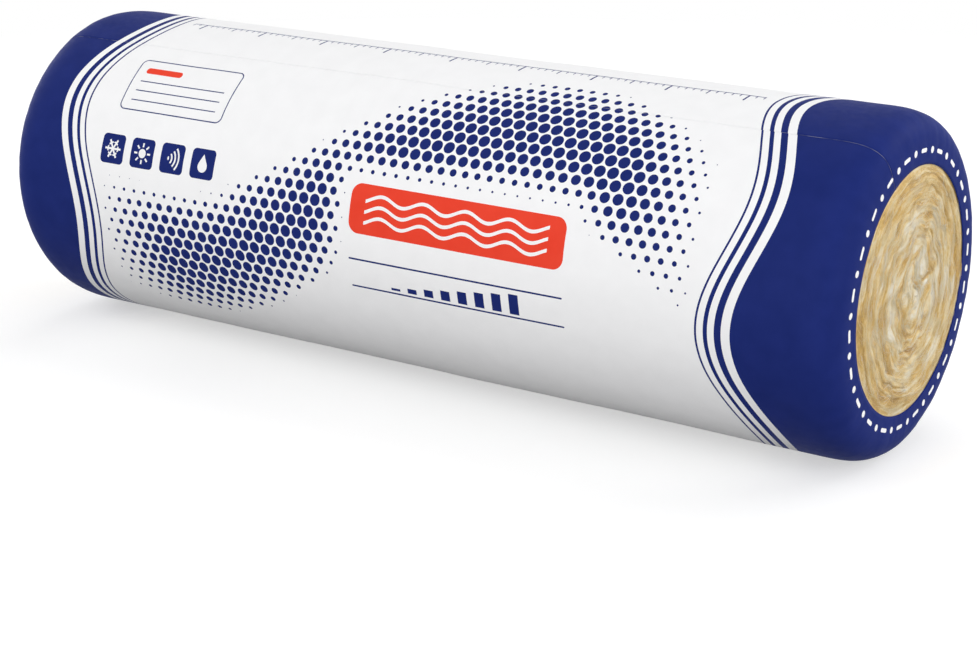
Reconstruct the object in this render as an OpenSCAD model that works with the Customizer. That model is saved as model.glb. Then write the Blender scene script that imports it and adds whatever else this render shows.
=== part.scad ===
// Insulation roll: a glass wool mat wound into a roll, squeezed and held by a film sleeve.
// The roll lies on its side along X. The origin is on the floor, under the middle of the roll.

/* [Roll] */
// Width of the mat, which is the length of the roll
mat_width = 1200; // [600:10:1500]
// Outside diameter of the wrapped roll
roll_diameter = 400; // [300:5:600]
// Thickness that one turn of the mat is squeezed to
turn_pitch = 14; // [10:0.5:24]

/* [Turns at the ends] */
// Depth of the crease between two turns
crease_depth = 6; // [2:0.5:12]
// Width of the crease at its mouth
crease_width = 6; // [2:0.5:9]

/* [Film sleeve] */
// Thickness of the film
film_thickness = 0.2; // [0.1:0.05:1]
// Length of the rounded shoulder, along the roll
shoulder_length = 65; // [40:1:100]
// How far the shoulder draws in from the side of the roll
shoulder_drop = 50; // [30:1:80]
// Fullness of the shoulder: 2 is an ellipse, more is squarer
shoulder_fullness = 3.2; // [2:0.1:5]
// Flat border of film between the shoulder and the round opening
rim_flat = 8.5; // [4:0.5:30]
// Width of the lap, where one long edge of the film is sealed over the other
lap_width = 60; // [20:1:120]
// Where the lap's free edge lies, in degrees up from the front of the roll
lap_angle = 64; // [20:1:160]

/* [Hidden] */
$fn = 96;
roll_radius = roll_diameter / 2;
half_width = mat_width / 2;

// Centre of the shoulder's curve, in radius and along the roll
shoulder_radius = roll_radius - shoulder_drop;
shoulder_start = half_width - shoulder_length;
shoulder_steps = 16;

opening_radius = shoulder_radius - rim_flat;
lap_sweep = lap_width / roll_radius * 180 / PI;

// The turns are drawn as half circles about two centres, which grow by half a turn at a time
half_turn = turn_pitch / 2;
first_radius = turn_pitch / 2;
centre_offset = turn_pitch / 4;
crease_reach = opening_radius - crease_width / 2 - centre_offset;
half_turns = floor((crease_reach - first_radius) / half_turn) + 1;

// Extra height of a cutter above the face that it cuts
over = 1;

// One point of the shoulder: turn is 0 on the flat end and 90 on the side of the roll
function shoulder_point(turn, inset) = [
    shoulder_radius + (shoulder_drop - inset) * pow(sin(turn), 2 / shoulder_fullness),
    shoulder_start + (shoulder_length - inset) * pow(cos(turn), 2 / shoulder_fullness)
];

// The side of the roll from one opening to the other, inset from the outside of the film
function side_line(inset) = let (
    shoulder = [for (i = [0 : shoulder_steps]) shoulder_point(90 * i / shoulder_steps, inset)],
    top_half = concat([[opening_radius, half_width - inset]], shoulder)
) concat(top_half, [for (i = [len(top_half) - 1 : -1 : 0]) [top_half[i][0], -top_half[i][1]]]);

function reversed(points) = [for (i = [len(points) - 1 : -1 : 0]) points[i]];

// Turns a shape made about Z so that its axis lies along X, on the floor
module lay_down() {
    translate([0, 0, roll_radius]) rotate([0, 90, 0]) children();
}

// Section of a layer of film that follows the roll's side between two insets
module film_section(outer, inner) {
    polygon(concat(side_line(outer), reversed(side_line(inner))));
}

// The crease between two turns, as a spiral cutter with its mouth at Z 0
module turn_crease() {
    for (k = [0 : half_turns - 1]) {
        back = k % 2;
        translate([(2 * back - 1) * centre_offset, 0, 0])
            rotate([0, 0, 180 * back])
                rotate_extrude(angle = 180)
                    translate([first_radius + k * half_turn, 0])
                        polygon([
                            [-crease_width / 2, over], [-crease_width / 2, 0], [0, -crease_depth],
                            [crease_width / 2, 0], [crease_width / 2, over]
                        ]);
    }
}

// The wound mat: it fills the sleeve, and comes flush with the film in the openings
module wool_roll() {
    color([0.87, 0.78, 0.58])
        lay_down()
            difference() {
                rotate_extrude()
                    polygon(concat(
                        [[0, half_width], [opening_radius, half_width]],
                        side_line(film_thickness),
                        [[opening_radius, -half_width], [0, -half_width]]
                    ));
                translate([0, 0, half_width]) turn_crease();
                mirror([0, 0, 1]) translate([0, 0, half_width]) turn_crease();
            }
}

// The sleeve: one layer all round, and a second one where the long edges lap
module film_sleeve() {
    color([0.96, 0.96, 0.97])
        lay_down()
            union() {
                rotate_extrude() film_section(0, film_thickness);
                rotate([0, 0, 270 - lap_angle - lap_sweep])
                    rotate_extrude(angle = lap_sweep) film_section(-film_thickness, 0);
            }
}

wool_roll();
film_sleeve();
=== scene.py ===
import math
import random

import bmesh
import bpy
import numpy as np
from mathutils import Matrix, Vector, noise


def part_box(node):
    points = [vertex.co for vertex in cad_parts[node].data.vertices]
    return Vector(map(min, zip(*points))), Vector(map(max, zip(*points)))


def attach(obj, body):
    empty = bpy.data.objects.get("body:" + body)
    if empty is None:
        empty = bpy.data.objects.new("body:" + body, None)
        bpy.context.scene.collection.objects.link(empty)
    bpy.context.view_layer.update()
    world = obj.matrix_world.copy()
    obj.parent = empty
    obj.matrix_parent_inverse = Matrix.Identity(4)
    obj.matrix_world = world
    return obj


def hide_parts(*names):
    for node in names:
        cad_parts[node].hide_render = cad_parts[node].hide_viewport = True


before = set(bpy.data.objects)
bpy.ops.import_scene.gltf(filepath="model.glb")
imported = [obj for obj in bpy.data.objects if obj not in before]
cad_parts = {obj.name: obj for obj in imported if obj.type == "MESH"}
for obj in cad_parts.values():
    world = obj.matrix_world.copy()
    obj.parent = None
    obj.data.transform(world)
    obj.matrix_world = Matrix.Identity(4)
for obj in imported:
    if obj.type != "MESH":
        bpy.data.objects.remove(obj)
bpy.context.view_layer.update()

scene = bpy.context.scene
scene.view_settings.view_transform = "Standard"
mm = 0.001
noiseSpan = (0.3, 0.7)  # nearly all values of a noise texture lie between these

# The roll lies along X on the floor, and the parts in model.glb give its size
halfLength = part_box("wool_roll")[1].x
rollRadius = round(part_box("film_sleeve")[1].z / 2, 4)
axisHeight = rollRadius


def toLinear(hexColour):
    # sRGB hex to the linear colour that a shader takes
    parts = [int(hexColour[i:i + 2], 16) / 255 for i in (1, 3, 5)]
    linear = [c / 12.92 if c <= 0.04045 else ((c + 0.055) / 1.055) ** 2.4 for c in parts]
    return (*linear, 1.0)


def addNode(tree, kind, feeds=(), **settings):
    # Feeds are values, sockets or nodes, in the order of the inputs or by an input's name
    made = tree.nodes.new("ShaderNode" + kind)
    for name, value in settings.items():
        setattr(made, name, value)
    for place, feed in feeds.items() if isinstance(feeds, dict) else enumerate(feeds):
        if isinstance(feed, bpy.types.Node):
            feed = next(socket for socket in feed.outputs if socket.enabled)
        if isinstance(feed, bpy.types.NodeSocket):
            tree.links.new(feed, made.inputs[place])
        elif feed is not None:
            made.inputs[place].default_value = feed
    return made


def newMaterial(name):
    material = bpy.data.materials.new(name)
    material.use_nodes = True
    material.node_tree.nodes.clear()
    return material, material.node_tree


def placeMesh(mesh, *materials):
    for material in materials:
        mesh.materials.append(material)
    mesh.shade_smooth()
    piece = bpy.data.objects.new(mesh.name, mesh)
    scene.collection.objects.link(piece)
    return piece


def finishShape(shape, name, *materials):
    mesh = bpy.data.meshes.new(name)
    shape.to_mesh(mesh)
    shape.free()
    return placeMesh(mesh, *materials)


def spinLine(shape, line, angle, steps, merge):
    # Takes a row of vertices round the roll's axis
    edges = [shape.edges.new(pair) for pair in zip(line, line[1:])]
    bmesh.ops.spin(shape, geom=line + edges, cent=(0, 0, axisHeight), axis=(1, 0, 0), dvec=(0, 0, 0),
                   angle=angle, steps=steps, use_merge=merge)


def smoothStep(low, high, value):
    share = min(1, max(0, (value - low) / (high - low)))
    return share * share * (3 - 2 * share)


# Camera, at the place that the picture was taken from
view = {
    "place": (1.5240, -2.2004, 0.9065),
    "target": (0.0344, 0.0, 0.0468),
    "lens": 81.34,  # mm
    "sensor": 36,
}
lensData = bpy.data.cameras.new("camera")
lensData.lens = view["lens"]
lensData.sensor_width = view["sensor"]
camera = bpy.data.objects.new("camera", lensData)
camera.location = view["place"]
camera.rotation_euler = (Vector(view["target"]) - camera.location).to_track_quat("-Z", "Y").to_euler()
scene.collection.objects.link(camera)
scene.camera = camera
print("camera set")

# Film sleeve: one sheet taken once round the mat, with its long edges lapped
film = {
    "opening": 141.5 * mm,  # radius of the round opening
    "border": 8.5 * mm,
    "shoulderLength": 65 * mm,
    "shoulderDrop": 50 * mm,
    "fullness": 3.2,
    "lap": 60 * mm,
    "lapAngle": 64,  # degrees up from the front to the free edge
    "lapLift": 0.28 * mm,
    "lapStep": 0.3,  # share of the lap's width over which the sheet comes down again past it
    "thickness": 0.2 * mm,
    "shoulderSteps": 28,
    "sideSteps": 60,
    "turnSteps": 360,
    "swell": (0.9 * mm, 190 * mm),  # height and size of the soft unevenness
    "dent": (0.35 * mm, 60 * mm),
    "pull": (0.22 * mm, 320 * mm, 26 * mm),  # height, length and width of the pull lines
    "gather": (0.5 * mm, 70 * mm, 44),  # height, reach from the opening, number round it
    "heldEdge": 12 * mm,  # the gathers start this far from the opening
}


def shoulderPoint(turn, inset):
    # On the shoulder's curve, from 0 at the flat end to a right angle on the side, as (x, radius)
    power = film["fullness"]
    reach = (math.cos(turn) ** power + math.sin(turn) ** power) ** (-1 / power)
    x = halfLength - film["shoulderLength"] + (film["shoulderLength"] - inset) * reach * math.cos(turn)
    radius = rollRadius - film["shoulderDrop"] + (film["shoulderDrop"] - inset) * reach * math.sin(turn)
    return x, radius


def filmProfile():
    # Half of the section, from the opening over the shoulder to the middle, as (x, radius)
    points = [(halfLength, film["opening"]), (halfLength, film["opening"] + film["border"] / 2)]
    points += [shoulderPoint(math.pi / 2 * step / film["shoulderSteps"], 0)
               for step in range(film["shoulderSteps"] + 1)]
    start = halfLength - film["shoulderLength"]
    count = film["sideSteps"] // 2
    points += [(start * (1 - step / count), rollRadius) for step in range(1, count + 1)]
    return points


def filmRelief(place, fromEdge):
    # Height of the film above its plain shape. Fixed offsets keep one noise apart from the next
    swellHeight, swellSize = film["swell"]
    height = swellHeight * noise.noise(place / swellSize)
    dentHeight, dentSize = film["dent"]
    height += dentHeight * noise.noise(place / dentSize + Vector((7.3, 0, 0)))
    pullHeight, pullLength, pullWidth = film["pull"]
    pulled = Vector((place.x / pullLength, place.y / pullWidth, place.z / pullWidth))
    height += pullHeight * noise.noise(pulled)
    # Gathers run out from the opening, and die away over the shoulder
    gatherHeight, gatherReach, gathers = film["gather"]
    fade = math.exp(-(fromEdge / gatherReach) ** 2) * smoothStep(0, film["heldEdge"], fromEdge)
    around = Vector((0, place.y, place.z - axisHeight)).normalized() * gathers / math.pi
    height += gatherHeight * fade * noise.noise(around + Vector((math.copysign(5, place.x), 0, 0)))
    return height


# Print on the film, in millimetres on the flat sheet: u runs along the roll and v round it
ink = {
    "white": ("#F3F3F4", "#F6F6F7"),  # where the print is thin, and where it is full
    "navy": ("#202D70", "#1C2969"),
    "red": ("#EC4935", "#E8432F"),
    "cloud": 28,  # size of the thin and full places
    "repeat": math.pi * rollRadius / mm + 1.0,  # half the girth and a little: the lap is out of register
    "front": 15,  # degrees up from the front to the middle of the design
    "square": 0.01,  # radius of a corner that looks square
}


def roundedBar(tree, spot, centre, half, corner):
    # Distance from the bar's inner box: less than corner is inside the rounded bar
    away = addNode(tree, "VectorMath", [spot, (*centre, 0)], operation="SUBTRACT")
    folded = addNode(tree, "VectorMath", [away], operation="ABSOLUTE")
    inner = (half[0] - corner, half[1] - corner, 0)
    over = addNode(tree, "VectorMath", [folded, inner], operation="SUBTRACT")
    outside = addNode(tree, "VectorMath", [over, (0, 0, 0)], operation="MAXIMUM")
    return addNode(tree, "VectorMath", [outside], operation="LENGTH")


def filledBar(tree, spot, centre, half, corner):
    away = roundedBar(tree, spot, centre, half, corner)
    return addNode(tree, "Math", [away, corner], operation="LESS_THAN")


def layMarks(tree, marks):
    # 1 where any of these masks is
    together = marks[0]
    for mark in marks[1:]:
        together = addNode(tree, "Math", [together, mark], operation="MAXIMUM")
    return together


# Navy ends with a wavy edge, and three lines that follow it
navyEnd = {
    "from": 500,  # from the middle of the roll
    "wave": 20,
    "lines": ((-15, 4.2), (-30, 2.6), (-42, 1.3)),  # distance from the navy, and half width
}


def navyEnds(tree, across, v):
    phase = addNode(tree, "Math", [v, 4 * math.pi / ink["repeat"]], operation="MULTIPLY")
    swing = addNode(tree, "Math", [phase], operation="SINE")
    edge = addNode(tree, "Math", [swing, navyEnd["wave"], navyEnd["from"]], operation="MULTIPLY_ADD")
    beyond = addNode(tree, "Math", [across, edge], operation="SUBTRACT")
    marks = [addNode(tree, "Math", [beyond, 0], operation="GREATER_THAN")]
    for distance, half in navyEnd["lines"]:
        marks.append(addNode(tree, "Math", [beyond, distance, half], operation="COMPARE"))
    return layMarks(tree, marks)


# Bare bars and dots by turns on the navy, in a ring round each opening
openRing = {
    "fromEdge": 16,  # from the film's edge to the middle of the ring
    "marks": 44,
    "barHalf": (7.5, 2.4),
    "dot": 3.9,
}


def openingRing(tree, across, girth, filmEdge):
    ringRadius = film["opening"] / mm + openRing["fromEdge"]
    pitch = 2 * math.pi * ringRadius / openRing["marks"]
    perMark = openRing["marks"] * mm / (2 * math.pi * rollRadius)
    place = addNode(tree, "Math", [girth, perMark], operation="MULTIPLY")
    number = addNode(tree, "Math", [place], operation="FLOOR")
    odd = addNode(tree, "Math", [number, 2], operation="FLOORED_MODULO")
    share = addNode(tree, "Math", [place, number], operation="SUBTRACT")
    side = addNode(tree, "Math", [share, pitch, -pitch / 2], operation="MULTIPLY_ADD")
    inward = addNode(tree, "Math", [across, filmEdge / mm - openRing["fromEdge"]], operation="SUBTRACT")
    local = addNode(tree, "CombineXYZ", [side, inward])
    barMark = filledBar(tree, local, (0, 0), openRing["barHalf"], openRing["barHalf"][1])
    away = addNode(tree, "VectorMath", [local], operation="LENGTH")
    dotMark = addNode(tree, "Math", [away, openRing["dot"]], operation="LESS_THAN")
    return addNode(tree, "Mix", {0: odd, 2: dotMark, 3: barMark})


# Round dots on a staggered grid, largest along a wave that runs the length of the roll
dots = {
    "pitch": 17,
    "radius": 7.4,
    "waveHeight": 118,
    "waveLength": 1040,
    "waveShift": 0.35,
    "waveHalf": 92,
    "fade": (330, 430),  # from the middle of the roll, where they shrink to nothing
    "clear": (10, 48),  # from the marks that they leave room for
}


def waveDots(tree, u, v, keepClear):
    pitch = dots["pitch"]
    rowPitch = pitch * math.sqrt(3) / 2
    rowPlace = addNode(tree, "Math", [v, rowPitch], operation="DIVIDE")
    row = addNode(tree, "Math", [rowPlace], operation="FLOOR")
    odd = addNode(tree, "Math", [row, 2], operation="FLOORED_MODULO")
    shift = addNode(tree, "Math", [odd, 0.5], operation="MULTIPLY")
    columnPlace = addNode(tree, "Math", [u, 1 / pitch, shift], operation="MULTIPLY_ADD")
    column = addNode(tree, "Math", [columnPlace], operation="FLOOR")
    middle = addNode(tree, "Math", [column, 0.5], operation="ADD")
    unshifted = addNode(tree, "Math", [middle, shift], operation="SUBTRACT")
    dotU = addNode(tree, "Math", [unshifted, pitch], operation="MULTIPLY")
    dotV = addNode(tree, "Math", [row, rowPitch, rowPitch / 2], operation="MULTIPLY_ADD")
    here = addNode(tree, "CombineXYZ", [u, v])
    dot = addNode(tree, "CombineXYZ", [dotU, dotV])
    distance = addNode(tree, "VectorMath", [here, dot], operation="DISTANCE")
    phase = addNode(tree, "Math", [dotU, 2 * math.pi / dots["waveLength"], dots["waveShift"]],
                    operation="MULTIPLY_ADD")
    swing = addNode(tree, "Math", [phase], operation="SINE")
    crest = addNode(tree, "Math", [swing, dots["waveHeight"]], operation="MULTIPLY")
    off = addNode(tree, "Math", [dotV, crest], operation="SUBTRACT")
    share = addNode(tree, "Math", [off, dots["waveHalf"]], operation="DIVIDE")
    square = addNode(tree, "Math", [share, share], operation="MULTIPLY")
    strength = addNode(tree, "Math", [1, square], operation="SUBTRACT", use_clamp=True)
    across = addNode(tree, "Math", [dotU], operation="ABSOLUTE")
    fade = addNode(tree, "MapRange", [across, *dots["fade"], 1, 0])
    faded = addNode(tree, "Math", [strength, fade], operation="MULTIPLY")
    for centre, half in keepClear:
        away = roundedBar(tree, dot, centre, half, 0)
        clear = addNode(tree, "MapRange", [away, *dots["clear"], 0, 1])
        faded = addNode(tree, "Math", [faded, clear], operation="MULTIPLY")
    root = addNode(tree, "Math", [faded], operation="SQRT")
    radius = addNode(tree, "Math", [root, dots["radius"]], operation="MULTIPLY")
    return addNode(tree, "Math", [distance, radius], operation="LESS_THAN")


# A row of navy tiles with common signs for cold, warmth, sound and damp left bare in them
tiles = {
    "first": (-416, 12),
    "spacing": 50,
    "half": 19,
    "corner": 6,
    "snow": {"arms": 6, "arm": 1.3, "reach": 13, "barbAt": 8.4, "barbHalf": 1.0, "barbReach": 3.4},
    "sun": {"rays": 8, "core": 5.8, "rayAt": 10.8, "rayHalf": 2.6, "ray": 1.2},
    "sound": {"from": 9, "wedge": 0.75, "spacing": 5.6, "half": 1.2, "reach": 21},
    "drop": {"low": 3.4, "bulb": 7.4, "taper": 0.56, "shoulder": 8.7},
}


def fromSpokes(tree, local, half):
    # Distance from the middle of a sign, and from the nearest of its spokes, which are 2 * half apart
    radius = addNode(tree, "VectorMath", [local], operation="LENGTH")
    parts = addNode(tree, "SeparateXYZ", [local])
    angle = addNode(tree, "Math", [parts.outputs["Y"], parts.outputs["X"]], operation="ARCTAN2")
    folded = addNode(tree, "Math", [angle, half], operation="PINGPONG")
    slope = addNode(tree, "Math", [folded], operation="SINE")
    return radius, addNode(tree, "Math", [slope, radius], operation="MULTIPLY")


def snowSign(tree, local):
    size = tiles["snow"]
    radius, side = fromSpokes(tree, local, math.pi / size["arms"])
    arm = addNode(tree, "Math", [side, size["arm"]], operation="LESS_THAN")
    tips = addNode(tree, "Math", [radius, size["reach"]], operation="LESS_THAN")
    arms = addNode(tree, "Math", [arm, tips], operation="MULTIPLY")
    band = addNode(tree, "Math", [radius, size["barbAt"], size["barbHalf"]], operation="COMPARE")
    near = addNode(tree, "Math", [side, size["barbReach"]], operation="LESS_THAN")
    barbs = addNode(tree, "Math", [band, near], operation="MULTIPLY")
    return layMarks(tree, [arms, barbs])


def sunSign(tree, local):
    size = tiles["sun"]
    radius, side = fromSpokes(tree, local, math.pi / size["rays"])
    core = addNode(tree, "Math", [radius, size["core"]], operation="LESS_THAN")
    thin = addNode(tree, "Math", [side, size["ray"]], operation="LESS_THAN")
    reach = addNode(tree, "Math", [radius, size["rayAt"], size["rayHalf"]], operation="COMPARE")
    rays = addNode(tree, "Math", [thin, reach], operation="MULTIPLY")
    return layMarks(tree, [core, rays])


def soundSign(tree, local):
    size = tiles["sound"]
    moved = addNode(tree, "VectorMath", [local, (size["from"], 0, 0)], operation="ADD")
    reach = addNode(tree, "VectorMath", [moved], operation="LENGTH")
    parts = addNode(tree, "SeparateXYZ", [moved])
    turn = addNode(tree, "Math", [parts.outputs["Y"], parts.outputs["X"]], operation="ARCTAN2")
    wedge = addNode(tree, "Math", [turn, 0, size["wedge"]], operation="COMPARE")
    cycle = addNode(tree, "Math", [reach, size["spacing"]], operation="FLOORED_MODULO")
    arc = addNode(tree, "Math", [cycle, size["spacing"] / 2, size["half"]], operation="COMPARE")
    within = addNode(tree, "Math", [reach, size["reach"]], operation="LESS_THAN")
    arcs = addNode(tree, "Math", [wedge, arc], operation="MULTIPLY")
    return addNode(tree, "Math", [arcs, within], operation="MULTIPLY")


def dropSign(tree, local):
    size = tiles["drop"]
    lowered = addNode(tree, "VectorMath", [local, (0, size["low"], 0)], operation="ADD")
    away = addNode(tree, "VectorMath", [lowered], operation="LENGTH")
    bulb = addNode(tree, "Math", [away, size["bulb"]], operation="LESS_THAN")
    parts = addNode(tree, "SeparateXYZ", [lowered])
    side = addNode(tree, "Math", [parts.outputs["X"]], operation="ABSOLUTE")
    taper = addNode(tree, "Math", [parts.outputs["Y"], -size["taper"], size["shoulder"]],
                    operation="MULTIPLY_ADD")
    inside = addNode(tree, "Math", [side, taper], operation="LESS_THAN")
    above = addNode(tree, "Math", [parts.outputs["Y"], size["low"]], operation="GREATER_THAN")
    tip = addNode(tree, "Math", [inside, above], operation="MULTIPLY")
    return layMarks(tree, [bulb, tip])


signs = (snowSign, sunSign, soundSign, dropSign)


def signTiles(tree, spot):
    marks = []
    half = (tiles["half"], tiles["half"])
    for number, sign in enumerate(signs):
        centre = (tiles["first"][0] + number * tiles["spacing"], tiles["first"][1])
        local = addNode(tree, "VectorMath", [spot, (*centre, 0)], operation="SUBTRACT")
        tile = filledBar(tree, spot, centre, half, tiles["corner"])
        figure = sign(tree, local)
        marks.append(addNode(tree, "Math", [tile, figure], operation="SUBTRACT", use_clamp=True))
    return layMarks(tree, marks)


# A bare scale for cutting to length
cutScale = {
    "at": 246,
    "half": 420.8,
    "line": 0.9,
    "ticks": ((10, 7, 0.7), (50, 12, 0.9), (100, 18, 1.2)),  # spacing, length and half width
}


def cuttingScale(tree, u, v):
    across = addNode(tree, "Math", [u], operation="ABSOLUTE")
    within = addNode(tree, "Math", [across, cutScale["half"]], operation="LESS_THAN")
    below = addNode(tree, "Math", [cutScale["at"], v], operation="SUBTRACT")
    marks = [addNode(tree, "Math", [below, 0, cutScale["line"]], operation="COMPARE")]
    for spacing, length, half in cutScale["ticks"]:
        near = addNode(tree, "Math", [u, spacing / 2], operation="PINGPONG")
        thin = addNode(tree, "Math", [near, half], operation="LESS_THAN")
        tall = addNode(tree, "Math", [below, length / 2, length / 2], operation="COMPARE")
        marks.append(addNode(tree, "Math", [thin, tall], operation="MULTIPLY"))
    ticks = layMarks(tree, marks)
    return addNode(tree, "Math", [ticks, within], operation="MULTIPLY")


# An empty box to write in, with ruled lines and a red tab
noteBox = {
    "centre": (-341, 104),
    "half": (84, 38),
    "corner": 8,
    "outline": 0.8,
    "rules": (4, -10, -24),  # from the middle of the box
    "ruleHalf": (70, 0.75),
    "tab": (-40, 21),
    "tabHalf": (30, 4.5),
}


def boxLines(tree, spot):
    u, v = noteBox["centre"]
    edge = roundedBar(tree, spot, noteBox["centre"], noteBox["half"], noteBox["corner"])
    marks = [addNode(tree, "Math", [edge, noteBox["corner"], noteBox["outline"]], operation="COMPARE")]
    for offset in noteBox["rules"]:
        marks.append(filledBar(tree, spot, (u, v + offset), noteBox["ruleHalf"], ink["square"]))
    return layMarks(tree, marks)


def boxTab(tree, spot):
    u, v = noteBox["centre"]
    centre = (u + noteBox["tab"][0], v + noteBox["tab"][1])
    return filledBar(tree, spot, centre, noteBox["tabHalf"], noteBox["tabHalf"][1])


# A red bar with three waves left bare in it, two rules below it, and a rising row between the rules
redBar = {
    "centre": (118, -8),
    "half": (150, 30),
    "corner": 14,
    "waves": (-13, 0, 13),
    "waveLength": 60,
    "waveHeight": 4.5,
    "waveHalf": 2.1,
    "waveReach": 128,
    "rules": (-70, -106),
    "rule": 1.1,
    "steps": {"count": 8, "from": (22, -102), "spacing": 24, "width": 13, "rise": 3.2},
}


def waveBar(tree, spot, u, v):
    middleU, middleV = redBar["centre"]
    bar = filledBar(tree, spot, redBar["centre"], redBar["half"], redBar["corner"])
    fromMiddle = addNode(tree, "Math", [u, middleU], operation="SUBTRACT")
    phase = addNode(tree, "Math", [fromMiddle, 2 * math.pi / redBar["waveLength"]], operation="MULTIPLY")
    swing = addNode(tree, "Math", [phase], operation="SINE")
    wave = addNode(tree, "Math", [swing, redBar["waveHeight"], middleV], operation="MULTIPLY_ADD")
    off = addNode(tree, "Math", [v, wave], operation="SUBTRACT")
    waves = layMarks(tree, [addNode(tree, "Math", [off, offset, redBar["waveHalf"]], operation="COMPARE")
                            for offset in redBar["waves"]])
    within = addNode(tree, "Math", [fromMiddle, 0, redBar["waveReach"]], operation="COMPARE")
    shown = addNode(tree, "Math", [waves, within], operation="MULTIPLY")
    return addNode(tree, "Math", [bar, shown], operation="SUBTRACT", use_clamp=True)


def barRules(tree, spot):
    half = (redBar["half"][0], redBar["rule"])
    return layMarks(tree, [filledBar(tree, spot, (redBar["centre"][0], height), half, redBar["rule"])
                           for height in redBar["rules"]])


def risingSteps(tree, u, v):
    row = redBar["steps"]
    fromStart = addNode(tree, "Math", [u, row["from"][0]], operation="SUBTRACT")
    place = addNode(tree, "Math", [fromStart, row["spacing"]], operation="DIVIDE")
    number = addNode(tree, "Math", [place], operation="FLOOR")
    middle = (row["count"] - 1) / 2
    within = addNode(tree, "Math", [number, middle, row["count"] / 2], operation="COMPARE")
    share = addNode(tree, "Math", [place, number], operation="SUBTRACT")
    wide = addNode(tree, "Math", [share, 0.5, row["width"] / row["spacing"] / 2], operation="COMPARE")
    above = addNode(tree, "Math", [v, row["from"][1]], operation="SUBTRACT")
    halfHeight = addNode(tree, "Math", [number, row["rise"] / 2, row["rise"] / 2], operation="MULTIPLY_ADD")
    tall = addNode(tree, "Math", [above, halfHeight, halfHeight], operation="COMPARE")
    step = addNode(tree, "Math", [wide, tall], operation="MULTIPLY")
    return addNode(tree, "Math", [step, within], operation="MULTIPLY")


def roomForMarks():
    # Boxes, as middle and half size, that the dots leave free
    barTop = redBar["centre"][1] + redBar["half"][1]
    barFoot = min(redBar["rules"])
    bar = ((redBar["centre"][0], (barTop + barFoot) / 2), (redBar["half"][0], (barTop - barFoot) / 2))
    reach = (len(signs) - 1) / 2 * tiles["spacing"]
    row = ((tiles["first"][0] + reach, tiles["first"][1]), (reach + tiles["half"], tiles["half"]))
    return bar, row, (noteBox["centre"], noteBox["half"])


def printMasks(tree, filmEdge):
    # Masks of the navy and the red ink, from the film's flat coordinates
    flat = addNode(tree, "UVMap", uv_map="flatFilm")
    sheet = addNode(tree, "VectorMath", {0: flat, "Scale": 1 / mm}, operation="SCALE")
    parts = addNode(tree, "SeparateXYZ", [sheet])
    u = parts.outputs["X"]
    girth = parts.outputs["Y"]
    front = math.radians(ink["front"]) * rollRadius / mm
    fromFront = addNode(tree, "Math", [girth, front], operation="SUBTRACT")
    v = addNode(tree, "Math", [fromFront, ink["repeat"] / 2, -ink["repeat"] / 2], operation="WRAP")
    spot = addNode(tree, "CombineXYZ", [u, v])
    across = addNode(tree, "Math", [u], operation="ABSOLUTE")
    inked = layMarks(tree, [
        navyEnds(tree, across, v),
        waveDots(tree, u, v, roomForMarks()),
        signTiles(tree, spot),
        cuttingScale(tree, u, v),
        boxLines(tree, spot),
        barRules(tree, spot),
        risingSteps(tree, u, v),
    ])
    bare = openingRing(tree, across, girth, filmEdge)
    navy = addNode(tree, "Math", [inked, bare], operation="SUBTRACT", use_clamp=True)
    red = layMarks(tree, [waveBar(tree, spot, u, v), boxTab(tree, spot)])
    return navy, red, sheet, girth


# Skin of the film, in millimetres on the flat sheet
filmSkin = {
    "hairline": 0.8,  # width of the faint white line at the lap's cut edge
    "hairlineBreak": 22,  # length of the stretches where it shows and where it is lost
    "hairlineSpan": (0.42, 0.56),  # part of the noise over which it comes and goes
    "hairlineWhite": (0.02, 0.16),
    "crinkle": 9,  # size of the fine crinkle all over
    "seal": 9,  # width of the ribbed seal along the lap
    "rib": 0.8,  # half the width of a rib
    "ribHeight": 0.15,  # beside the crinkle's height
    "bump": (0.25, 0.15 * mm),
    "roughness": (0.46, 0.56),
}


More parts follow.
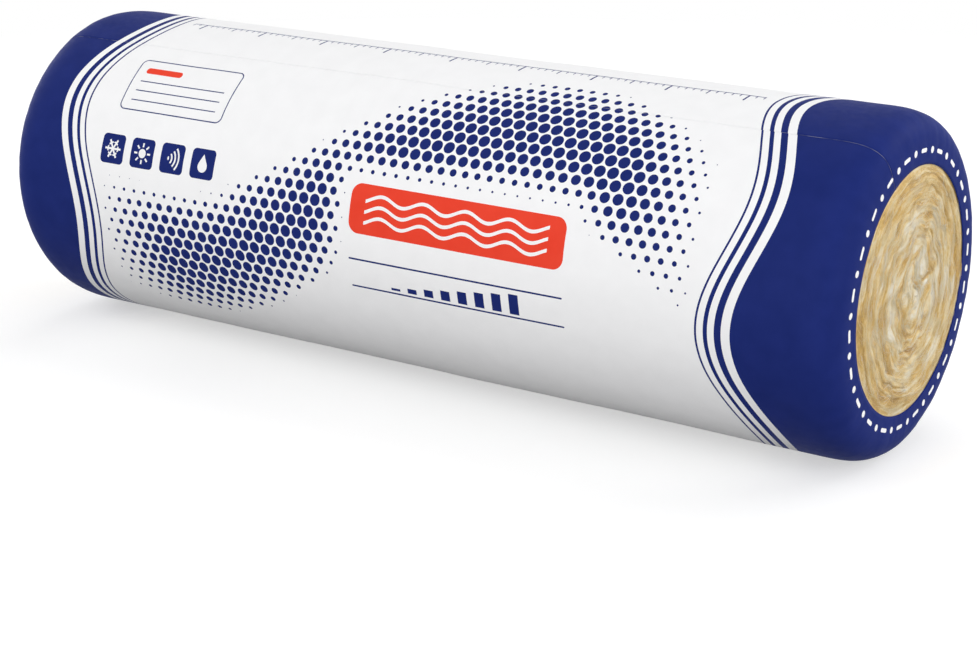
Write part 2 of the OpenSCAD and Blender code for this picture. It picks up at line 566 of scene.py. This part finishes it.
def printedFilm(filmEdge, freeEdge):
    # White polyethylene film, blown and printed: a satin skin with a broad soft gloss and no mirror, so
    # thin that the print shows on its inside too
    material, tree = newMaterial("printed polyethylene film")
    navy, red, sheet, girth = printMasks(tree, filmEdge)
    cloud = addNode(tree, "TexNoise", {"Vector": sheet, "Scale": 1 / ink["cloud"], "Detail": 6})
    full = addNode(tree, "MapRange", [cloud.outputs[0], *noiseSpan, 0, 1])
    shades = {}
    for name in ("white", "navy", "red"):
        thin, dense = (toLinear(shade) for shade in ink[name])
        shades[name] = addNode(tree, "Mix", {0: full, 6: thin, 7: dense}, data_type="RGBA")
    inked = addNode(tree, "Mix", {0: navy, 6: shades["white"], 7: shades["navy"]}, data_type="RGBA")
    printed = addNode(tree, "Mix", {0: red, 6: inked, 7: shades["red"]}, data_type="RGBA")
    # The cut edge at the lap shows the white of the film as a faint hairline, broken here and there
    fromLap = addNode(tree, "Math", [girth, freeEdge / mm], operation="SUBTRACT")
    hairline = addNode(tree, "Math", [fromLap, filmSkin["hairline"]], operation="LESS_THAN")
    stretch = addNode(tree, "TexNoise", {"Vector": sheet, "Scale": 1 / filmSkin["hairlineBreak"],
                                         "Detail": 2})
    broken = addNode(tree, "MapRange", [stretch.outputs[0], *filmSkin["hairlineSpan"],
                                        *filmSkin["hairlineWhite"]])
    faint = addNode(tree, "Math", [hairline, broken], operation="MULTIPLY")
    colour = addNode(tree, "Mix", {0: faint, 6: printed, 7: shades["white"]}, data_type="RGBA")
    # Fine crinkle of the film, and the ribbed seal along the lap
    crinkle = addNode(tree, "TexNoise", {"Vector": sheet, "Scale": 1 / filmSkin["crinkle"], "Detail": 3})
    ribs = addNode(tree, "Math", [girth, filmSkin["rib"]], operation="PINGPONG")
    seal = addNode(tree, "Math", [fromLap, filmSkin["seal"]], operation="LESS_THAN")
    ribbed = addNode(tree, "Math", [ribs, seal], operation="MULTIPLY")
    relief = addNode(tree, "Math", [ribbed, filmSkin["ribHeight"], crinkle.outputs[0]],
                     operation="MULTIPLY_ADD")
    strength, height = filmSkin["bump"]
    bump = addNode(tree, "Bump", {"Height": relief, "Strength": strength, "Distance": height})
    rough = addNode(tree, "MapRange", [crinkle.outputs[0], *noiseSpan, *filmSkin["roughness"]])
    shader = addNode(tree, "BsdfPrincipled", {"Base Color": colour, "Roughness": rough, "IOR": 1.51,
                                              "Specular IOR Level": 0.02, "Normal": bump})
    addNode(tree, "OutputMaterial", [shader])
    return material


def makeFilm():
    half = filmProfile()
    lengths = [0.0]
    for (xa, ra), (xb, rb) in zip(half, half[1:]):
        lengths.append(lengths[-1] + math.hypot(xb - xa, rb - ra))
    filmEdge = lengths[-1]  # along the film from the middle of the roll to the opening
    section = [(x, r, filmEdge - done) for (x, r), done in zip(half, lengths)]
    section += [(-x, r, -along) for x, r, along in reversed(section[:-1])]

    shape = bmesh.new()
    alongLayer = shape.verts.layers.float.new("along")
    freeAngle = math.radians(film["lapAngle"])
    line = []
    for x, r, along in section:
        spot = (x, -r * math.cos(freeAngle), axisHeight + r * math.sin(freeAngle))
        vert = shape.verts.new(spot)
        vert[alongLayer] = along
        line.append(vert)
    lapTurn = film["lap"] / rollRadius
    sweep = 2 * math.pi + lapTurn
    spinLine(shape, line, -sweep, film["turnSteps"], False)
    shape.verts.index_update()
    bmesh.ops.recalc_face_normals(shape, faces=shape.faces[:])
    shape.normal_update()
    first = shape.faces[0]
    middle = first.calc_center_median()
    if first.normal.dot(middle - Vector((middle.x, 0, axisHeight))) < 0:
        bmesh.ops.reverse_faces(shape, faces=shape.faces[:])
        shape.normal_update()

    # Flat coordinates of the sheet in metres, along the roll and round it from the front.
    # In the second map the sheet fills the whole picture
    flatLayer = shape.loops.layers.uv.new("flatFilm")
    bakeLayer = shape.loops.layers.uv.new("OFBake")
    turns = {vert: freeAngle + sweep * (vert.index // len(section)) / film["turnSteps"]
             for vert in shape.verts}
    for face in shape.faces:
        for loop in face.loops:
            along = loop.vert[alongLayer]
            turn = turns[loop.vert]
            loop[flatLayer].uv = (along, turn * rollRadius)
            loop[bakeLayer].uv = (0.5 + 0.5 * along / filmEdge, (turn - freeAngle) / sweep)

    # The first stretch lies over the last one, and the sheet steps down where the lap ends
    moves = {}
    for vert in shape.verts:
        fromFree = turns[vert] - freeAngle
        lift = film["lapLift"] * (1 - smoothStep(lapTurn, (1 + film["lapStep"]) * lapTurn, fromFree))
        fromEdge = filmEdge - abs(vert[alongLayer])
        moves[vert] = vert.co + vert.normal * (filmRelief(vert.co, fromEdge) + lift)
    for vert, spot in moves.items():
        spot.z = max(spot.z, film["thickness"])  # it lies on the floor, and not in it
        vert.co = spot
    shape.verts.layers.float.remove(alongLayer)

    piece = finishShape(shape, "film_wrap", printedFilm(filmEdge, freeAngle * rollRadius))
    skin = piece.modifiers.new("thickness", "SOLIDIFY")
    skin.thickness = film["thickness"]
    skin.offset = -1
    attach(piece, "root")
    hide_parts("film_sleeve")


makeFilm()
print("film sleeve made")

# Wound mat: the ends show its turns, and the film hides the rest
mat = {
    "turn": 14 * mm,  # thickness that a turn is squeezed to
    "rings": 150,
    "steps": 300,
    "hiddenSteps": 6,
    "gap": 2.6 * mm,  # between the mat's side and the film, so that neither shows through the other
    "rimInset": 1 * mm,  # the end stops this far short of the shoulder, under the film
    "tuck": 1.5 * mm,  # how far the mat lies back under the film's edge
    "tuckSpan": (12 * mm, 1 * mm),  # where it starts to go back, and has done so, inside the film's edge
    "pressed": 0.2,  # share of its relief that is left there
    "crown": 2.2 * mm,
    "crease": (3.4 * mm, 1.2 * mm, 44 * mm),  # depth, half width, and length of an open stretch
    "creaseOpen": 0.45,  # how open a crease is on average
    "swirl": (4.5 * mm, 28 * mm, 50 * mm),  # wander of the turns at the rim and the core, and its size
    "swirlPower": 1.5,  # how fast it grows towards the core
    "swirlFine": (0.35, 0.7, 0.38),  # its finer part: share at the rim and the core, and relative size
    "swirlSeeds": (2.6, 6.2),
    "squash": 0.25,  # how much narrower than tall the core's turns are
    "tier": (1.3 * mm, 80 * mm),  # how far one turn may stand out from the next, and over what length
    "bands": (  # height, width and length of the felt's folds
        (1.4 * mm, 9.0 * mm, 30 * mm),
        (1.2 * mm, 5.0 * mm, 42 * mm),
        (0.8 * mm, 2.2 * mm, 20 * mm),
    ),
    "tuft": (0.35 * mm, 3.0 * mm),
    "streak": (6 * mm, 60 * mm),  # width and length of the pale and yellow streaks along the turns
    "blot": 17 * mm,  # size of the pale swirls, which are strongest in the core
    "pale": {"base": 0.5, "core": 0.1, "rim": -0.08, "streak": 0.42, "blot": 0.22, "coreBlot": 0.4},
    "coreReach": (35 * mm, 110 * mm),  # where the core's swirls start to fade, and end
    "rimReach": (95 * mm, 141 * mm),  # where the rim's yellow starts, and is full
    "picture": (0.207, 0.285),  # offset and radius of each end in the OFBake map
    "pictureSide": (0.02, 0.62, 0.36),  # place and size of the hidden wool there
    "fineStreak": (1.4 * mm, 18 * mm, 3),  # width, length and detail
    "fineFibre": (0.5 * mm, 7 * mm, 2),
    "curd": (5 * mm, 0.8),  # size and distortion of the curdled tufts among them
    "weights": (0.75, 0.65, 0.5),  # of those three patterns in the colour
    "paintedShadeByRise": (-3.2 * mm, 2 * mm, -0.34, 0.1),  # rise of the felt, and the painted shade that it gives: darker in creases and low places, paler where raised
    "bump": (0.6, 0.7, 0.6 * mm),  # share of the streaks in it, strength and height
    "tints": ((0.0, "#B18E55"), (0.25, "#CDA961"), (0.5, "#DCC592"), (0.75, "#E0D5B9"), (1.0, "#E4DED2")),
}


def woundPlace(y, z, end):
    # Where a point of the end would lie if the turns were wound without a wobble. Here and below, end
    # goes into each noise, so that the two ends differ
    swirlRim, swirlCore, swirlSize = mat["swirl"]
    fineRim, fineCore, fineSize = mat["swirlFine"]
    core = 1 - min(1, math.hypot(y, z) / film["opening"])
    wander = swirlRim + (swirlCore - swirlRim) * core ** mat["swirlPower"]
    fineShare = fineRim + (fineCore - fineRim) * core
    pulls = []
    for seed in mat["swirlSeeds"]:
        spot = Vector((y, z, 0)) / swirlSize + Vector((seed, 0, 4.7 * end))
        fine = spot / fineSize + Vector((0, seed, 0))
        pulls.append(noise.noise(spot) + fineShare * noise.noise(fine))
    return y * (1 + mat["squash"] * core) + wander * pulls[0], z + wander * pulls[1]


def matRelief(y, z, end):
    # Height of the end above its plane, the felt's own rise and paleness, and the unwobbled place
    woundY, woundZ = woundPlace(y, z, end)
    angle = math.atan2(woundZ, woundY) / (2 * math.pi)
    turns = math.hypot(woundY, woundZ) / mat["turn"] - angle
    layer = math.floor(turns)
    across = (turns - layer) * mat["turn"]
    along = math.pi * mat["turn"] * (layer + angle) ** 2  # along the mat, from the core outwards
    depth, half, stretch = mat["crease"]
    fromCrease = min(across, mat["turn"] - across)
    creaseAlong = math.pi * mat["turn"] * (round(turns) + angle) ** 2
    openness = mat["creaseOpen"] + noise.noise(Vector((creaseAlong / stretch, 0.4, 1.5 * end)))
    crease = math.exp(-(fromCrease / half) ** 2) * min(1, max(0, openness))
    tierHeight, tierLength = mat["tier"]
    rise = tierHeight * noise.noise(Vector((0.3, along / tierLength, 2.1 * end)))
    for number, (height, width, length) in enumerate(mat["bands"]):
        spot = Vector((across / width, along / length, 3.9 * end + 7 * number))
        rise += height * noise.noise(spot)
    tuftHeight, tuftSize = mat["tuft"]
    rise += tuftHeight * noise.noise(Vector((y, z, 0)) / tuftSize + Vector((0, 0, end)))
    rise -= depth * crease
    reach = math.hypot(y, z)
    held = 1 - smoothStep(*(film["opening"] - inside for inside in mat["tuckSpan"]), reach)
    loose = mat["pressed"] + (1 - mat["pressed"]) * held
    height = (rise + mat["crown"]) * loose - mat["tuck"] * (1 - held)
    core = 1 - smoothStep(*mat["coreReach"], reach)
    rim = smoothStep(*mat["rimReach"], reach)
    streakWidth, streakLength = mat["streak"]
    streak = noise.noise(Vector((across / streakWidth, along / streakLength, 5.2 * end)))
    blot = noise.noise(Vector((woundY, woundZ, 0)) / mat["blot"] + Vector((3.3, 0, 8.4 * end)))
    tone = mat["pale"]
    pale = tone["base"] + tone["core"] * core + tone["rim"] * rim
    pale += tone["streak"] * streak
    pale += (tone["blot"] + tone["coreBlot"] * core) * blot
    return height, rise, pale, woundY, woundZ


def glassWool():
    # Glass wool: a felt of fine yellowish fibres, dull and soft, paler where it is teased open. Its creases
    # and low places carry painted shade, and its raised felt a little painted light
    material, tree = newMaterial("glass wool")
    wound = addNode(tree, "Attribute", attribute_name="wound")
    parts = addNode(tree, "SeparateXYZ", [wound.outputs["Vector"]])
    flatWound = addNode(tree, "CombineXYZ", [parts.outputs["X"], parts.outputs["Y"]])
    radius = addNode(tree, "VectorMath", [flatWound], operation="LENGTH")
    turnAngle = addNode(tree, "Math", [parts.outputs["Y"], parts.outputs["X"]], operation="ARCTAN2")
    angle = addNode(tree, "Math", [turnAngle, 2 * math.pi], operation="DIVIDE")
    reach = addNode(tree, "Math", [radius, mat["turn"]], operation="DIVIDE")
    turns = addNode(tree, "Math", [reach, angle], operation="SUBTRACT")
    layer = addNode(tree, "Math", [turns], operation="FLOOR")
    across = addNode(tree, "Math", [turns, layer], operation="SUBTRACT")
    count = addNode(tree, "Math", [layer, angle], operation="ADD")
    square = addNode(tree, "Math", [count, count], operation="MULTIPLY")
    along = addNode(tree, "Math", [square, math.pi * mat["turn"]], operation="MULTIPLY")
    spread = addNode(tree, "Math", [across, mat["turn"]], operation="MULTIPLY")
    # Fine streaks and fibres lie along the turns, with small curdled tufts among them
    patterns = []
    for width, length, detail in (mat["fineStreak"], mat["fineFibre"]):
        place = addNode(tree, "CombineXYZ", [
            addNode(tree, "Math", [spread, width], operation="DIVIDE"),
            addNode(tree, "Math", [along, length], operation="DIVIDE"),
        ])
        lie = addNode(tree, "TexNoise", {"Vector": place, "Scale": 1, "Detail": detail, "Roughness": 0.6})
        patterns.append(lie.outputs[0])
    place = addNode(tree, "TexCoord")
    curdSize, curdTwist = mat["curd"]
    curd = addNode(tree, "TexNoise", {"Vector": place.outputs["Object"], "Scale": 1 / curdSize, "Detail": 3,
                                      "Distortion": curdTwist})
    patterns.append(curd.outputs[0])
    pale = addNode(tree, "Attribute", attribute_name="pale")
    # Painted shade from the felt's rise: creases and low places darker, raised felt paler
    paintedShadeByRise = addNode(tree, "MapRange", [parts.outputs["Z"], *mat["paintedShadeByRise"]])
    shade = addNode(tree, "Math", [pale.outputs["Fac"], paintedShadeByRise], operation="ADD")
    for pattern, weight in zip(patterns, mat["weights"]):
        offset = addNode(tree, "Math", [pattern, 0.5], operation="SUBTRACT")
        shade = addNode(tree, "Math", [offset, weight, shade], operation="MULTIPLY_ADD")
    ramp = addNode(tree, "ValToRGB", [shade])
    for number, (at, tint) in enumerate(mat["tints"]):
        stop = ramp.color_ramp.elements[number] if number < 2 else ramp.color_ramp.elements.new(at)
        stop.position = at
        stop.color = toLinear(tint)
    streakShare, strength, height = mat["bump"]
    fine = addNode(tree, "Math", [patterns[0], streakShare, patterns[1]], operation="MULTIPLY_ADD")
    bump = addNode(tree, "Bump", {"Height": fine, "Strength": strength, "Distance": height})
    shader = addNode(tree, "BsdfPrincipled", {"Base Color": ramp, "Roughness": 0.95, "Normal": bump,
                                              "Specular IOR Level": 0.2, "Sheen Weight": 0.2,
                                              "Sheen Roughness": 0.6})
    addNode(tree, "OutputMaterial", [shader])
    return material


def hiddenWool():
    # The same felt where the film hides it, in one plain colour
    material, tree = newMaterial("glass wool under the film")
    shader = addNode(tree, "BsdfPrincipled", {"Base Color": toLinear("#D6BF8C"), "Roughness": 0.95,
                                              "Specular IOR Level": 0.2})
    addNode(tree, "OutputMaterial", [shader])
    return material


def makeMat():
    # Half of the section, from the middle of the end face to the middle of the roll
    rim = film["opening"] + film["border"] - mat["rimInset"]
    half = [(halfLength, rim * step / mat["rings"]) for step in range(mat["rings"] + 1)]
    for step in range(1, mat["hiddenSteps"] + 1):
        half.append(shoulderPoint(math.pi / 2 * step / mat["hiddenSteps"], mat["gap"]))
    section = half + [(-x, r) for x, r in reversed(half)]

    shape = bmesh.new()
    line = [shape.verts.new((x, -r, axisHeight)) for x, r in section]
    spinLine(shape, line, 2 * math.pi, mat["steps"], True)
    bmesh.ops.remove_doubles(shape, verts=shape.verts[:], dist=1e-6)
    bmesh.ops.recalc_face_normals(shape, faces=shape.faces[:])
    # The second map holds the two ends as large as they go, and the hidden wool in a corner
    onEnd = halfLength - 0.1 * mm  # a vertex past this is on an end
    bakeLayer = shape.loops.layers.uv.new("OFBake")
    offset, reach = mat["picture"]
    sideU, sideV, sideSize = mat["pictureSide"]
    for face in shape.faces:
        hidden = min(abs(vert.co.x) for vert in face.verts) < onEnd
        face.material_index = int(hidden)
        end = math.copysign(1, face.verts[0].co.x)
        for loop in face.loops:
            x, y, z = loop.vert.co - Vector((0, 0, axisHeight))
            if hidden:
                along = 0.5 + 0.5 * x / halfLength
                around = 0.5 + 0.5 * math.atan2(z, y) / math.pi
                loop[bakeLayer].uv = (sideU + sideSize * along, sideV + sideSize * around)
            else:
                middle = 0.5 + end * offset
                loop[bakeLayer].uv = (middle + reach * end * y / rim, middle + reach * z / rim)
    woundLayer = shape.verts.layers.float_vector.new("wound")
    paleLayer = shape.verts.layers.float.new("pale")
    for vert in shape.verts:
        y = vert.co.y
        z = vert.co.z - axisHeight
        vert[woundLayer] = (y, z, 0)
        if abs(vert.co.x) > onEnd:
            end = math.copysign(1, vert.co.x)
            height, rise, pale, woundY, woundZ = matRelief(y, z, end)
            vert.co.x += end * height
            vert[woundLayer] = (woundY, woundZ, rise)
            vert[paleLayer] = pale
    piece = finishShape(shape, "wound_mat", glassWool(), hiddenWool())
    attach(piece, "root")
    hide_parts("wool_roll")


makeMat()
print("wound mat made")

# Stray fibres: strands in small locks that lie along the turns, and here and there stand off them
fibres = {
    "count": 5000,  # at each end
    "lock": 5,  # strands that lie together
    "lockSpread": 1.6 * mm,
    "points": 7,
    "sides": 3,
    "length": (8 * mm, 34 * mm),
    "radius": (0.08 * mm, 0.15 * mm),  # many times a real fibre's, so that it shows
    "tip": 0.4,  # share of that radius at a strand's ends
    "lift": 0.8 * mm,
    "root": 0.35 * mm,  # how deep its ends are sunk
    "free": 0.15,  # share of strands with an end that stands off
    "stray": 0.3,  # turn off the lie of the mat, in radians
    "bend": 0.7,
    "clear": 2.5 * mm,  # room inside the film's edge
    "tints": (  # with the paleness of the felt that each lies on
        ("ochre glass fibre", "#D7B46A", 0.1),
        ("cream glass fibre", "#E2D2A8", 0.45),
        ("pale glass fibre", "#E5DFD2", 0.8),
    ),
    "tintSpread": 0.18,
    "ends": (("stray_fibres_right", 1, 11), ("stray_fibres_left", -1, 23)),  # name, side and seed
}


def lieOfTurn(y, z, end):
    # Direction of the turn through a point of the end
    step = 0.5 * mm
    here = math.hypot(*woundPlace(y, z, end))
    overY = math.hypot(*woundPlace(y + step, z, end)) - here
    overZ = math.hypot(*woundPlace(y, z + step, end)) - here
    return math.atan2(overY, -overZ)


def layFibre(draw, y, z, end, drift, backwards):
    # Points of one strand, or none where it would run under the film
    count = fibres["points"]
    pace = draw.uniform(*fibres["length"]) / (count - 1)
    lift = abs(draw.gauss(0, fibres["lift"]))
    bend = draw.gauss(0, fibres["bend"])
    free = draw.random() < fibres["free"]
    heading = lieOfTurn(y, z, end) + (math.pi if backwards else 0)
    spots = []
    for step in range(count):
        if math.hypot(y, z) > film["opening"] - fibres["clear"]:
            return None
        spots.append((matRelief(y, z, end)[0], y, z))
        lie = lieOfTurn(y, z, end)
        if math.cos(lie - heading) < 0:
            lie += math.pi
        heading = lie + drift + bend * (step / (count - 1) - 0.5)
        y += pace * math.cos(heading)
        z += pace * math.sin(heading)
    points = []
    for step, (height, y, z) in enumerate(spots):
        share = step / (count - 1)
        before = spots[max(0, step - 1)][0]
        after = spots[min(count - 1, step + 1)][0]
        bridged = max(height, (before + after) / 2)  # it spans a crease and doesn't follow it down
        arch = 2 * share * share if free else math.sin(math.pi * share)
        sunk = fibres["root"] * (1 - math.sin(math.pi * share))
        sunk = 0 if free and share > 0.5 else sunk
        points.append((end * (halfLength + bridged + lift * arch - sunk), y, axisHeight + z))
    return points


def layFibres(draw, end):
    # All strands of an end, with the radius and tint of each
    paths, radii, tints = [], [], []
    while len(paths) < fibres["count"]:
        reach = film["opening"] * math.sqrt(draw.random())
        turn = draw.uniform(0, 2 * math.pi)
        y = reach * math.cos(turn)
        z = reach * math.sin(turn)
        drift = draw.gauss(0, fibres["stray"])
        backwards = draw.random() < 0.5
        pale = draw.gauss(matRelief(y, z, end)[2], fibres["tintSpread"])
        tint = min(range(len(fibres["tints"])), key=lambda number: abs(pale - fibres["tints"][number][2]))
        for strand in range(fibres["lock"]):
            startY = y + draw.gauss(0, fibres["lockSpread"])
            startZ = z + draw.gauss(0, fibres["lockSpread"])
            points = layFibre(draw, startY, startZ, end, drift, backwards)
            if points:
                paths.append(points)
                radii.append(draw.uniform(*fibres["radius"]))
                tints.append(tint)
    return np.array(paths), np.array(radii), np.array(tints)


def joinFibres(name, paths, radii, tints, end):
    # One mesh of all strands, each a thin tapered tube with closed ends
    count, points = paths.shape[:2]
    sides = fibres["sides"]
    ahead = np.gradient(paths, axis=1)
    ahead /= np.linalg.norm(ahead, axis=2, keepdims=True)
    side = np.cross(ahead, (end, 0, 0))
    side /= np.linalg.norm(side, axis=2, keepdims=True)
    up = np.cross(side, ahead)
    taper = fibres["tip"] + (1 - fibres["tip"]) * np.sin(math.pi * np.linspace(0, 1, points))
    thick = (radii[:, None] * taper)[:, :, None, None]
    turn = (2 * math.pi * np.arange(sides) / sides)[:, None]
    spokes = up[:, :, None, :] * np.cos(turn) + side[:, :, None, :] * np.sin(turn)
    verts = (paths[:, :, None, :] + thick * spokes).reshape(-1, 3)
    firsts = np.arange(count)[:, None] * points * sides
    rings = firsts[:, :, None] + (np.arange(points - 1) * sides)[:, None]
    here = rings + np.arange(sides)
    beside = rings + (np.arange(sides) + 1) % sides
    walls = np.stack([here, beside, beside + sides, here + sides], axis=-1).reshape(-1, 4)
    starts = firsts + np.arange(sides)
    caps = np.concatenate([starts[:, ::-1], starts + (points - 1) * sides])
    mesh = bpy.data.meshes.new(name)
    mesh.from_pydata(verts.tolist(), [], walls.tolist() + caps.tolist())
    slots = np.concatenate([np.repeat(tints, (points - 1) * sides), tints, tints])
    mesh.polygons.foreach_set("material_index", slots.astype(np.int32))
    return mesh


def glassFibres():
    # Drawn glass with a yellow binder: each strand has one tint, and together they give the streaks
    materials = []
    for name, tint, _ in fibres["tints"]:
        material, tree = newMaterial(name)
        shader = addNode(tree, "BsdfPrincipled", {"Base Color": toLinear(tint), "Roughness": 0.6,
                                                  "IOR": 1.5, "Specular IOR Level": 0.3})
        addNode(tree, "OutputMaterial", [shader])
        materials.append(material)
    return materials


def makeFibres():
    materials = glassFibres()
    for name, end, seed in fibres["ends"]:
        paths, radii, tints = layFibres(random.Random(seed), end)
        piece = placeMesh(joinFibres(name, paths, radii, tints, end), *materials)
        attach(piece, "root")


makeFibres()
print("stray fibres made")

# Floor, lights and world
studio = {
    "white": "#FFFFFF",
    "floorSize": 20,  # half its width
    "floor": ("#CFCFCF", 0.5),  # colour, and the glow that only the camera and gloss see
    "bounce": "#8E8E8E",  # colour of the floor for the light that it throws back
    "floorFade": (1.5, 2.6),  # where the floor starts to turn into the white backdrop, and has done so
    "world": 0.4,
    "backdrop": 1.0,
    "lights": {  # place, width, height and watts
        "key": ((-1.6, -3.4, 3.4), 3.0, 3.0, 47),
        "front": ((0.3, -4.2, 0.7), 6.0, 1.1, 90),
        "right": ((4.2, -0.6, 1.2), 2.6, 2.6, 78),
        "left": ((-4.2, 0.6, 1.2), 2.6, 2.6, 56),
        "back": ((2.8, 3.4, 2.2), 3.2, 2.4, 88),
        "backHigh": ((-0.4, 2.4, 4.2), 3.6, 3.0, 46),
    },
}


def seenRays(tree):
    # 1 for what the camera sees, straight, in gloss or through something clear
    path = addNode(tree, "LightPath")
    kinds = ("Is Camera Ray", "Is Glossy Ray", "Is Transmission Ray")
    return layMarks(tree, [path.outputs[kind] for kind in kinds])


def makeFloor():
    shape = bmesh.new()
    bmesh.ops.create_grid(shape, x_segments=1, y_segments=1, size=studio["floorSize"])
    material, tree = newMaterial("pale studio floor")
    tint, glow = studio["floor"]
    white = toLinear(studio["white"])
    lit = addNode(tree, "BsdfDiffuse", [toLinear(tint)])
    glowing = addNode(tree, "Emission", [white, glow])
    near = addNode(tree, "AddShader", [lit, glowing])
    place = addNode(tree, "TexCoord")
    away = addNode(tree, "VectorMath", [place.outputs["Object"]], operation="LENGTH")
    fade = addNode(tree, "MapRange", [away, *studio["floorFade"], 0, 1])
    far = addNode(tree, "Emission", [white, studio["backdrop"]])
    shown = addNode(tree, "MixShader", [fade, near, far])
    thrown = addNode(tree, "BsdfDiffuse", [toLinear(studio["bounce"])])
    surface = addNode(tree, "MixShader", [seenRays(tree), thrown, shown])
    addNode(tree, "OutputMaterial", [surface])
    finishShape(shape, "floor", material)


def makeLights():
    for name, (place, width, height, watts) in studio["lights"].items():
        lampData = bpy.data.lights.new(name, "AREA")
        lampData.shape = "RECTANGLE"
        lampData.size = width
        lampData.size_y = height
        lampData.energy = watts
        lamp = bpy.data.objects.new(name, lampData)
        lamp.location = place
        aim = Vector((0, 0, axisHeight)) - lamp.location
        lamp.rotation_euler = aim.to_track_quat("-Z", "Y").to_euler()
        scene.collection.objects.link(lamp)


def makeWorld():
    world = bpy.data.worlds.new("studio")
    world.use_nodes = True
    tree = world.node_tree
    tree.nodes.clear()
    white = toLinear(studio["white"])
    room = addNode(tree, "Background", [white, studio["world"]])
    backdrop = addNode(tree, "Background", [white, studio["backdrop"]])
    sky = addNode(tree, "MixShader", [seenRays(tree), room, backdrop])
    addNode(tree, "OutputWorld", [sky])
    scene.world = world


makeFloor()
makeLights()
makeWorld()
print("studio set")
